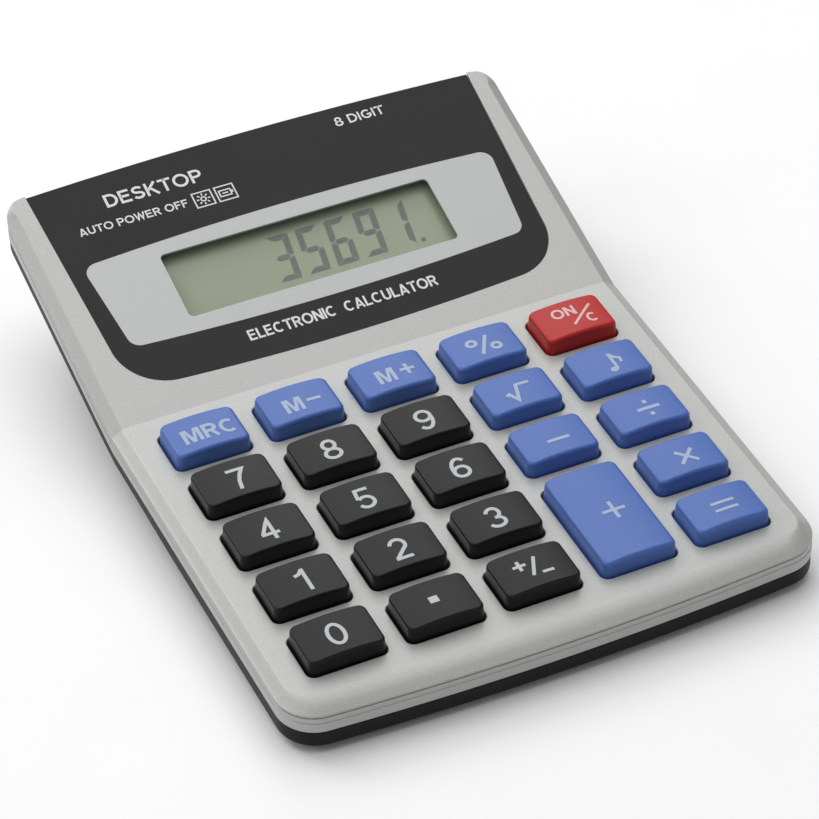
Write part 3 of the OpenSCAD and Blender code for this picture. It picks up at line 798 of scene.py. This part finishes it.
def root():
    return [line(-3.0, -1.2, -2.3, -0.85, -1.2, -3.2, 0.1, 1.3, 3.0, 1.3)]


def note():
    """An eighth note: a stem, its flag, and a round head that is drawn as a short thick curl."""
    head = [(arc(0, -3.0, 0.55, 0.4, 0, 345, 11), True), line(-0.3, -3.0, 0.3, -3.0)]
    stem = [line(0.75, -2.9, 0.75, 1.9)]
    flag = [line(0.85, 1.7, 1.3, 0.6, 2.5, -0.1, 2.3, -1.4)]
    return head + stem + flag


digit_h = 6.1
digit_x, digit_y = -0.35, -0.45
word_h = 4.1
stroke = 0.78

# Key legends: strokes in millimetres from the key's centre, and the stroke's width
LEGENDS = {"key_%d" % d: (write(str(d), digit_h, digit_x, digit_y), stroke) for d in range(10)}
LEGENDS.update({
    "key_7": (write("7", digit_h, 0.35, digit_y), stroke),
    "key_point": (bar(-0.5, 0, 1.9), 1.7),
    "key_sign": (cross(-2.5, 1.1, 2.7) + bar(0.1, 0.1, 5.2, 66) + bar(2.2, -2.1, 2.4), 0.7),
    "key_plus": (cross(0.7, -0.4, 4.9), stroke),
    "key_equals": (bar(0.2, 0.5, 5.0) + bar(0.2, -1.5, 5.0), 0.7),
    "key_times": (cross(0.4, -0.7, 5.2, 45), stroke),
    "key_minus": (bar(0.5, -1.1, 4.8), stroke),
    "key_divide": (bar(0.5, -0.5, 4.9) + bar(0.5, 1.4, 1.0, 90) + bar(0.5, -2.4, 1.0, 90), 0.85),
    "key_root": (root(), 0.75),
    "key_note": (note(), 0.7),
    "key_percent": (percent(), 0.75),
    "key_memory_recall": (write("MRC", word_h, 0.75, -0.7), stroke),
    "key_memory_minus": (write("M", word_h, -1.6, -0.95) + bar(2.9, -0.7, 3.0), stroke),
    "key_memory_plus": (write("M", word_h, -1.65, -0.8) + cross(3.2, -0.4, 3.2), stroke),
    "key_on_clear": (write("ON", 2.9, -1.3, 1.6) + bar(2.1, -0.25, 7.6, 41)
                     + write("C", 2.8, 3.6, -1.9), 0.55),
})


# ---- Keys ----

cap_wall = 1.2
cap_taper = 0.15
plunger_r = 2.8
proud = 0.05
name_slot = {s["node"]: s["material_slot"] for s in frame["record"]["subparts"]}
# By slot: paint of the cap and of its legend, and the radius of the cap's upper edges
CAPS = {"key_black": (key_black, legend_grey, 0.45), "key_blue": (key_blue, legend_pale_blue, 0.8),
        "key_red": (key_red, legend_pink, 0.8)}


def make_key(name):
    build = Build()
    cx, cy, extra = key_place(name)
    w, d = hole_w - 2 * key_gap, hole_d - 2 * key_gap + extra
    r = hole_r - key_gap / 2
    slot = name_slot[name]
    cap_paint, legend_paint, round_r = CAPS[slot]
    crown_r = (w * w / 4 + cap_crown ** 2) / (2 * cap_crown)

    def top(x):
        return cap_h + cap_crown - (crown_r - math.sqrt(crown_r ** 2 - x * x))

    def loop(inset, height, over_top):
        shape = rounded_rect(w - 2 * inset, d - 2 * inset, max(0.5, r - inset * 0.6))
        return build.ring([deck(cx + x, cy + y, (top(x) if over_top else 0) + height) for x, y in shape])

    def flange(height):
        shape = rounded_rect(hole_w + flange_over, hole_d + flange_over + extra, 2)
        return build.ring([deck(cx + x, cy + y, height) for x, y in shape])

    under = -skin - play - flange_t
    rings = [flange(under), flange(under + flange_t), loop(0, under + flange_t, False), loop(0, -0.2, False)]
    rings += [loop(cap_taper + o, -dz, True) for o, dz in reversed(quarter(round_r, 7))]
    build.loft(rings)
    build.ladder(rings[-1])
    inside = [rings[0], loop(cap_wall, under, False), loop(cap_wall, cap_h - cap_wall, False)]
    build.loft(inside)
    build.ladder(inside[-1])
    build.lathe(deck_spot(cx, cy), [(plunger_r - 0.2, under), (plunger_r, under + 0.2),
                                    (plunger_r, cap_h - cap_wall + 0.1)])
    strokes, width = LEGENDS[name]
    draw(build, strokes, width, lambda x, y, z: deck(cx + x, cy + y, top(x) + z), -proud, proud, 1)
    build.finish(name.replace("key_", "cap_"), [cap_paint, legend_paint], name, slot, [name])


# ---- Display panel and its print ----

panel_top = panel_t - recess
panel_edge_r = 0.08
# The silver print: its round corners, the half width and lean of its sides, and its long edges
frame_r = 2.7
frame_half, frame_lean, frame_half_s = 44.9, 0.1, 22
frame_low_s, frame_low_bow = 16.7, 0.0008
frame_high_s, frame_high_bow = 42.25, 0.00075
# The lettering: its stroke for a height of 1, and how deep it starts and how far it stands out
ink_stroke, ink_low, ink_high = 0.17, -0.02, 0.03
# Printed lines: words, height, start, foot and width
PRINT = [("DESKTOP", 3.4, -36.0, 53.4, 22.0), ("AUTO POWER OFF", 2.0, -44.0, 48.1, 24.4),
         ("8 DIGIT", 2.4, 18.4, 57.4, 11.6), ("ELECTRONIC  CALCULATOR", 2.7, -21.3, 11.5, 42.7)]
# Where the two framed signs stand, half the size of their frames, and their stroke
sun_x, cell_x, signs_s = -16.1, -11.0, 48.9
sign_w, sign_h, sign_stroke = 2.05, 1.9, 0.3


def on_panel(x, s, w):
    return face(x, s, panel_top + w)


def panel_loop(clearance, w):
    """Outline of the panel on the display face at height w, from its back right corner."""
    def back(x):
        return (back_at(x) - panel_gap - bend_y + w * math.sin(face_tilt)) / math.cos(face_tilt) - clearance

    near_corner = 50
    high = panel_x(back(near_corner)) - clearance
    half = [(high, back(high))] + panel_corner(-clearance)
    edge = [high * (i / 8 - 1) for i in range(1, 16)]
    return half + [(-x, s) for x, s in reversed(half[:-1])] + [(x, back(x)) for x in edge]


def frame_side(s):
    return frame_half + frame_lean * (s - frame_half_s)


def frame_low(x):
    return frame_low_s + frame_low_bow * x * x


def frame_high(x):
    return frame_high_s - frame_high_bow * x * x


def frame_loop():
    """Outline of the silver print: straight leaning sides, bowed long edges, round corners."""
    corners = []
    for edge, sign, first, last in ((frame_low, 1, -86, -6), (frame_high, -1, -6, 86)):
        x = 42
        for _ in range(4):
            y = edge(x) + sign * frame_r
            x = frame_side(y) - frame_r
        corners += arc(x, y, frame_r, frame_r, first, last, 8)
    low_end, high_end = corners[0][0], corners[-1][0]
    half = [(low_end * i / 8, frame_low(low_end * i / 8)) for i in range(8)] + corners
    half += [(high_end * (1 - i / 8), frame_high(high_end * (1 - i / 8))) for i in range(1, 9)]
    return half + [(-x, s) for x, s in reversed(half[1:-1])]


def print_line(build, words, height, x, s, width):
    """Raised capitals on the panel that start at x, stand on s and are stretched to a width."""
    gap = 0.07
    natural = sum(GLYPHS[c][0] for c in words) + gap * (len(words) - 1)
    at, k = 0, width / natural
    for c in words:
        wide, strokes = GLYPHS[c]
        moved = [([(x + (at + px) * k, s + py * height) for px, py in points], kind)
                 for points, kind in strokes]
        draw(build, moved, ink_stroke * height, on_panel, ink_low, ink_high, 2)
        at += wide + gap


def make_panel():
    build = Build()
    outer = [build.ring([face(x, s, w) for x, s in panel_loop(c, w)])
             for c, w in ((0, -recess), (0, panel_top - panel_edge_r), (panel_edge_r, panel_top))]
    hole = rounded_rect(window_w, window_h, 1.1, side=2, corner=5)
    window = [build.ring([face(x, window_mid + y, w) for x, y in hole]) for w in (panel_top, -recess)]
    printed = build.ring([face(x, s, panel_top) for x, s in frame_loop()])
    build.loft(outer)
    build.loft(window, 1)
    build.fill([outer[-1], printed])
    build.fill([printed, window[0]], 1)
    build.fill([outer[0], window[1]])
    for words in PRINT:
        print_line(build, *words)
    square = [(-sign_w, -sign_h), (sign_w, -sign_h), (sign_w, sign_h), (-sign_w, sign_h)]
    for centre, sign in ((sun_x, sun_sign()), (cell_x, cell_sign())):
        draw(build, [(square, True)] + sign, sign_stroke,
             lambda x, y, w: on_panel(centre + x, signs_s + y, w), ink_low, ink_high, 2)
    build.finish("printed_panel", [panel_black, panel_silver, print_white], "housing", "panel",
                 ["display_panel"])


def sun_sign():
    rays = [([(0.95 * math.cos(a), 0.95 * math.sin(a)), (1.5 * math.cos(a), 1.5 * math.sin(a))], False)
            for a in [math.pi / 4 * k for k in range(8)]]
    return [(arc(0, 0, 0.55, 0.55, 0, 330, 11), True)] + rays


def cell_sign():
    body = [(-1.4, -0.75), (1.1, -0.75), (1.1, 0.75), (-1.4, 0.75)]
    return [(body, True), line(1.45, -0.35, 1.45, 0.35), line(-0.8, 0, 0.5, 0)]


# ---- Liquid-crystal display ----

# Thickness of the lens's place in the shell and of the lens, its eased edge and how far it laps
lens_place_t, lens_t, lens_ease, lens_lap = 0.8, 0.7, 0.1, 2
lens_bottom = -skin - lens_place_t
digit_pitch = 6.62
segment_h = 11.9
segment_w = 4.9
segment_t = 1.4
slant = 0.135
first_digit_x = -8.7
digits_low = 24.6

# Which of the seven segments each digit lights, clockwise from the top one, the middle one last
LIT = {"3": "abcdg", "5": "acdfg", "6": "acdefg", "9": "abcdfg", "1": "bc"}


def digit_segments(lit):
    """Outlines of the lit segments of a digit, from its lower left corner."""
    w, h, t, gap = segment_w, segment_h, segment_t, 0.09
    mid = h / 2
    top = [(gap, h), (w - gap, h), (w - t - gap, h - t), (t + gap, h - t)]
    left = [(0, h - gap), (t, h - t - gap), (t, mid + t / 2 + gap), (t / 3, mid + gap), (0, mid + gap + 0.3)]
    middle = [(t / 2 + gap, mid), (t + gap, mid + t / 2), (w - t - gap, mid + t / 2),
              (w - t / 2 - gap, mid), (w - t - gap, mid - t / 2), (t + gap, mid - t / 2)]

    def flipped(shape, across, over):
        return [(w - x if across else x, h - y if over else y) for x, y in shape]

    shapes = {"a": top, "b": flipped(left, True, False), "c": flipped(left, True, True),
              "d": flipped(top, False, True), "e": flipped(left, False, True), "f": left, "g": middle}
    return [shapes[s] for s in lit]


def make_segments():
    build = Build()
    shapes = []
    for k, c in enumerate("35691"):
        for shape in digit_segments(LIT[c]):
            shapes.append([(first_digit_x + k * digit_pitch + x + y * slant, digits_low + y)
                           for x, y in shape])
    point_x = first_digit_x + 5 * digit_pitch - 0.6
    shapes.append([(point_x + x, digits_low - 0.1 + y) for x, y in ((0, 0), (1, 0), (1.1, 1), (0.1, 1))])
    for shape in shapes:
        low, high = [build.ring([face(x, s, lens_bottom + w) for x, s in shape]) for w in (-0.01, 0.03)]
        build.join(low, high)
        build.face(low)
        build.face(high[::-1])
    build.finish("lcd_segments", [segment_ink], "housing", "lcd_glass")


def make_lens():
    """Clear plate with eased edges, a little thinner than its place so that air is left below."""
    build = Build()
    rings = []
    for inset, down in ((lens_ease, lens_t), (0, lens_t - lens_ease), (0, lens_ease), (lens_ease, 0)):
        lap = 2 * (lens_lap - inset)
        shape = rounded_rect(window_w + lap, window_h + lap, 1, side=4, corner=4)
        rings.append(build.ring([face(x, window_mid + y, -skin - down) for x, y in shape]))
    build.loft(rings)
    build.ladder(rings[0])
    build.ladder(rings[-1])
    build.finish("clear_window", [lens_clear], "housing", "clear_lens", ["window_lens"])


# ---- Bottom shell ----

# The black shell's side is upright down to a depth, then turns in by an amount: deck, display
turn_depth, turn_in = (8.6, 7.8), (1.6, 3.0)
# That shape changes over this stretch, which starts so far in front of the bend
change_start, change_len = 30, 25
# The hump: half width, where its front starts, where it reaches its floor, where it ends
hump_x = 40
hump_front, hump_toe, hump_back = bend_y + 8, bend_y + 21, bend_y + 53.5
hump_wall, hump_floor, hump_r = 1.6, 2.6, 1.2
# Battery bay: half width, wall, and the room over the cell and at its ends
bay_x, bay_wall, bay_over, bay_end = 28.6, 1.2, 0.4, 1.2
# Battery door: how far its tongue stands out, the tongue's thickness, and the gap all round
tongue_out, tongue_t, door_gap = 1.2, 0.8, 0.15
grip_grooves, grip_pitch, grip_half = 6, 1.6, 7
screw_hole_r, screw_hole_depth, foot_play = 2.3, 1.3, 0.1
sound_r, sound_ring = 0.7, 3.2
door_low, door_high = box_mm("battery_door")
cell_low, cell_high = box_mm("battery_cell")


def slab_underside(y):
    return bend_z + (y - bend_y) * math.tan(face_tilt) - slab_t / math.cos(face_tilt)


def hump_block(inset, lift, softness):
    """Solid with the hump's profile, a little smaller all round by inset."""
    build = Build()
    profile = [(hump_front + inset * 1.6, slab_underside(hump_front) + 3),
               (hump_front + inset * 1.6, slab_underside(hump_front)),
               (hump_toe + inset, foot_h + lift),
               (hump_back - inset, foot_h + lift),
               (hump_back - inset, slab_underside(hump_back) + 3)]
    sides = [build.ring([Vector((x, y, z)) for y, z in profile]) for x in (inset - hump_x, hump_x - inset)]
    build.join(sides[0], sides[1])
    build.face(sides[0])
    build.face(sides[1][::-1])
    if softness:
        build.soften(softness, 5)
    return build.mesh("hump")


def block(low, high, softness=0.0):
    build = Build()
    build.box(low, high)
    if softness:
        build.soften(softness)
    return build.mesh("block")


def cylinders(places, steps=32):
    """One mesh of upright cylinders: (place, radius, low, high) each."""
    build = Build()
    for place, r, low, high in places:
        build.lathe(place, [(r, low), (r, high)], steps)
    return build.mesh("cylinders")


def tray():
    """The black shell without its hump: a shallow tray that follows the bend."""
    build = Build()
    half = outer_half()
    last_x = half[-1][0]
    half += [(x, back_at(x)) for x in [last_x * (1 - i / 12) for i in range(1, 12)]]
    loop = mirrored(half) + [(0, back_y)]
    norm = normals(loop)
    rise = -top_t - seam_down

    def row(profile):
        """A ring of the tray; profile gives (inset, w) for a share of the display's shape."""
        pts = []
        for (x, y), n in zip(loop, norm):
            inset, w = profile(min(1, max(0, (y - bend_y + change_start) / change_len)))
            pts.append(layer(x - n.x * inset, y - n.y * inset, w))
        return build.ring(pts)

    def turned(a):
        """Profile of the round lower edge at the angle a of its turn."""
        def profile(share):
            depth, turn = [d + (f - d) * share for d, f in (turn_depth, turn_in)]
            return (base_inset + turn * (1 - math.cos(a)), -depth - (slab_t - depth) * math.sin(a))
        return profile

    flat = [(wall + 0.15, floor_w), (wall + 0.15, rise), (base_inset + 0.2, rise),
            (base_inset + 0.06, rise - 0.06), (base_inset, rise - 0.2)]
    rings = [row(lambda share: at) for at in flat]
    rings += [row(turned(math.pi / 2 * k / 7)) for k in range(8)]
    build.loft(rings)
    bends = [i for i, (x, y) in enumerate(loop) if abs(y - bend_y) < 1e-6]
    left, right = bends[0], bends[-1]
    for ring in (rings[0], rings[-1]):
        build.fill([ring[left:right + 1]])
        build.fill([ring[right:] + ring[:left + 1]])
    return build.mesh("tray")


def feet_places():
    """(centre, radius, top) of every foot."""
    return [((a + b) / 2, (b - a).x / 2, b.z) for a, b in loose_solids("rubber_feet")]


def make_bottom_shell():
    mesh = boolean(tray(), hump_block(0, 0, hump_r), "UNION")
    mesh = boolean(mesh, hump_block(hump_wall, hump_floor, 0), "DIFFERENCE")

    # Battery bay: the cell's place, closed at the sides and the roof
    bay_front, bay_back = cell_low.y - bay_end, cell_high.y + bay_end
    bay_roof = cell_high.z + bay_over
    outer = block((-bay_x - bay_wall, bay_front - bay_wall, foot_h + 0.5),
                  (bay_x + bay_wall, bay_back + bay_wall, bay_roof + bay_wall))
    inner = block((-bay_x, bay_front, foot_h - 1), (bay_x, bay_back, bay_roof))
    mesh = boolean(mesh, outer, "UNION")
    mesh = boolean(mesh, inner, "DIFFERENCE")

    # The door's opening, and the grooves that its tongue slides in
    edge = tongue_out - door_gap
    opening = block((door_low.x + edge, door_low.y - door_gap, foot_h - 1),
                    (door_high.x - edge, hump_back + 1, door_top + door_gap))
    groove = block((door_low.x - door_gap, door_low.y - door_gap, door_top - tongue_t - door_gap),
                   (door_high.x + door_gap, hump_back + 1, door_top + door_gap))
    mesh = boolean(mesh, opening, "DIFFERENCE")
    mesh = boolean(mesh, groove, "DIFFERENCE")

    # Holes for the shell screws, the feet and the sound
    holes = []
    for x, y, r, bore, low in pillar_places():
        if r == boss_r:
            under = above_deck(x, y, -slab_t)
            holes.append((deck_spot(x, y), screw_hole_r, under - 3, under + screw_hole_depth))
    for middle, r, top in feet_places():
        holes.append((table_spot(middle.x, middle.y), r + foot_play, -1, top))
    mesh = boolean(mesh, cylinders(holes), "DIFFERENCE")
    buzzer_low, buzzer_high = box_mm("buzzer")
    centre = (buzzer_low + buzzer_high) / 2
    sound_y = deck_y(centre.y, floor_w)
    turn = [math.pi / 3 * k for k in range(6)]
    spots = [(0, 0)] + [(sound_ring * math.cos(a), sound_ring * math.sin(a)) for a in turn]
    grille = [(deck_spot(centre.x + u, sound_y + v), sound_r, -slab_t - 1, floor_w + 0.5) for u, v in spots]
    mesh = boolean(mesh, cylinders(grille, 16), "DIFFERENCE")
    put(mesh, "black_bottom_shell", [shell_black], "housing", "black_shell", ["bottom_shell"], 30)


def make_door():
    """Sliding door with eased edges and grip grooves."""
    side = tongue_out + door_gap
    mesh = block((door_low.x + side, door_low.y, foot_h), (door_high.x - side, door_high.y, door_top), 0.25)
    tongue = block((door_low.x, door_low.y + 3, door_top - tongue_t),
                   (door_high.x, door_high.y - 1, door_top), 0.1)
    mesh = boolean(mesh, tongue, "UNION")
    for i in range(grip_grooves):
        y = door_low.y + 5 + grip_pitch * i
        half = grip_half - i
        cut = block((-half, y - 0.4, foot_h - 0.5), (half, y + 0.4, foot_h + 0.4), 0.15)
        mesh = boolean(mesh, cut, "DIFFERENCE")
    put(mesh, "sliding_battery_door", [shell_black], "battery_door", "black_shell", ["battery_door"], 30)


def make_feet():
    build = Build()
    for middle, r, top in feet_places():
        profile = [(r, top), (r, 0.5)] + [(r - o, d) for o, d in ((0.06, 0.28), (0.2, 0.1), (0.45, 0.0))]
        profile += [(r * 0.55, 0.0), (r * 0.5, 0.15), (0.2, 0.2)]
        build.lathe(table_spot(middle.x, middle.y), profile)
    build.finish("soft_feet", [foot_rubber], "housing", "foot_rubber", ["rubber_feet"])


# ---- Everything that keeps its CAD shape ----

KEPT = {
    "lcd_front_glass": glass_green, "lcd_rear_glass": glass_green, "lcd_reflector": reflector,
    "lcd_holder": white_plastic, "lcd_ribbon": ribbon_film, "main_board": board_green,
    "chip_blob": epoxy, "board_components": component_blue, "keypad_rubber": rubber_grey,
    "contact_pills": carbon, "buzzer": brass, "buzzer_wires": wire_red,
    "battery_cell": battery_wrap, "battery_spring": plated, "battery_plate": plated,
    "battery_wire_red": wire_red, "battery_wire_black": wire_black,
    "shell_screws": screw_steel, "board_screws": screw_steel,
}


def repaint():
    for node, paint in KEPT.items():
        piece = frame["nodes"][node]
        if not piece.material_slots:
            piece.data.materials.append(paint)
        for each in piece.material_slots:
            each.material = paint


# ---- Stage: floor, lights and camera ----


def make_floor():
    build = Build()
    reach = 4000
    corners = [(-reach, -reach), (reach, -reach), (reach, reach), (-reach, reach)]
    build.face(build.ring([Vector((x, y, 0)) for x, y in corners]))
    mesh = build.mesh("floor")
    mesh.transform(Matrix.Scale(MM, 4))
    mesh.materials.append(material("floor", (0.96, 0.96, 0.96), 0.7, vary=0.01, grain=30))
    floor = bpy.data.objects.new("floor", mesh)
    bpy.context.scene.collection.objects.link(floor)


def soft_light(name, place, size, watts):
    """A rectangular light, placed and sized in metres, that faces the middle of the object."""
    light = bpy.data.lights.new(name, "AREA")
    light.shape = "RECTANGLE"
    light.size, light.size_y = size
    light.energy = watts
    item = bpy.data.objects.new(name, light)
    item.location = place
    item.rotation_euler = (-item.location).to_track_quat("-Z", "Y").to_euler()
    bpy.context.scene.collection.objects.link(item)


def make_lights():
    world = bpy.data.worlds.new("studio")
    bpy.context.scene.world = world
    world.use_nodes = True
    sky = world.node_tree.nodes["Background"]
    socket(sky, "Color", (1, 1, 1, 1))
    socket(sky, "Strength", 0.32)
    soft_light("top", (0.0, 0.55, 1.7), (2.4, 2.0), 24)
    soft_light("back", (0.38, 1.3, 0.85), (0.9, 0.6), 3.5)
    soft_light("left", (-1.1, 0.1, 0.8), (0.7, 0.7), 2)
    soft_light("rim", (-0.65, 1.15, 0.9), (0.6, 0.5), 4)


def make_camera():
    """Camera from the left front: where it aims, how far it stands off, and its three angles."""
    target = Vector((-0.21, -4.80, 14.93)) * MM
    distance = 730.2 * MM
    azimuth, elevation, roll = math.radians(-24.29), math.radians(38.37), math.radians(-1.743)
    away = Vector((math.sin(azimuth) * math.cos(elevation), -math.cos(azimuth) * math.cos(elevation),
                   math.sin(elevation)))
    level_right = Vector((math.cos(azimuth), math.sin(azimuth), 0))
    up = away.cross(level_right)
    right = level_right * math.cos(roll) + up * math.sin(roll)
    data = bpy.data.cameras.new("camera")
    data.lens = 159.9
    data.sensor_width = 36
    camera = bpy.data.objects.new("camera", data)
    axes = Matrix((right, away.cross(right), away)).transposed()
    camera.matrix_world = Matrix.Translation(target + away * distance) @ axes.to_4x4()
    bpy.context.scene.collection.objects.link(camera)
    bpy.context.scene.camera = camera


make_camera()
make_lights()
make_floor()
bpy.context.scene.view_settings.view_transform = "Standard"
make_top_shell()
for key in key_names:
    make_key(key)
make_panel()
make_segments()
make_lens()
make_bottom_shell()
make_door()
make_feet()
repaint()
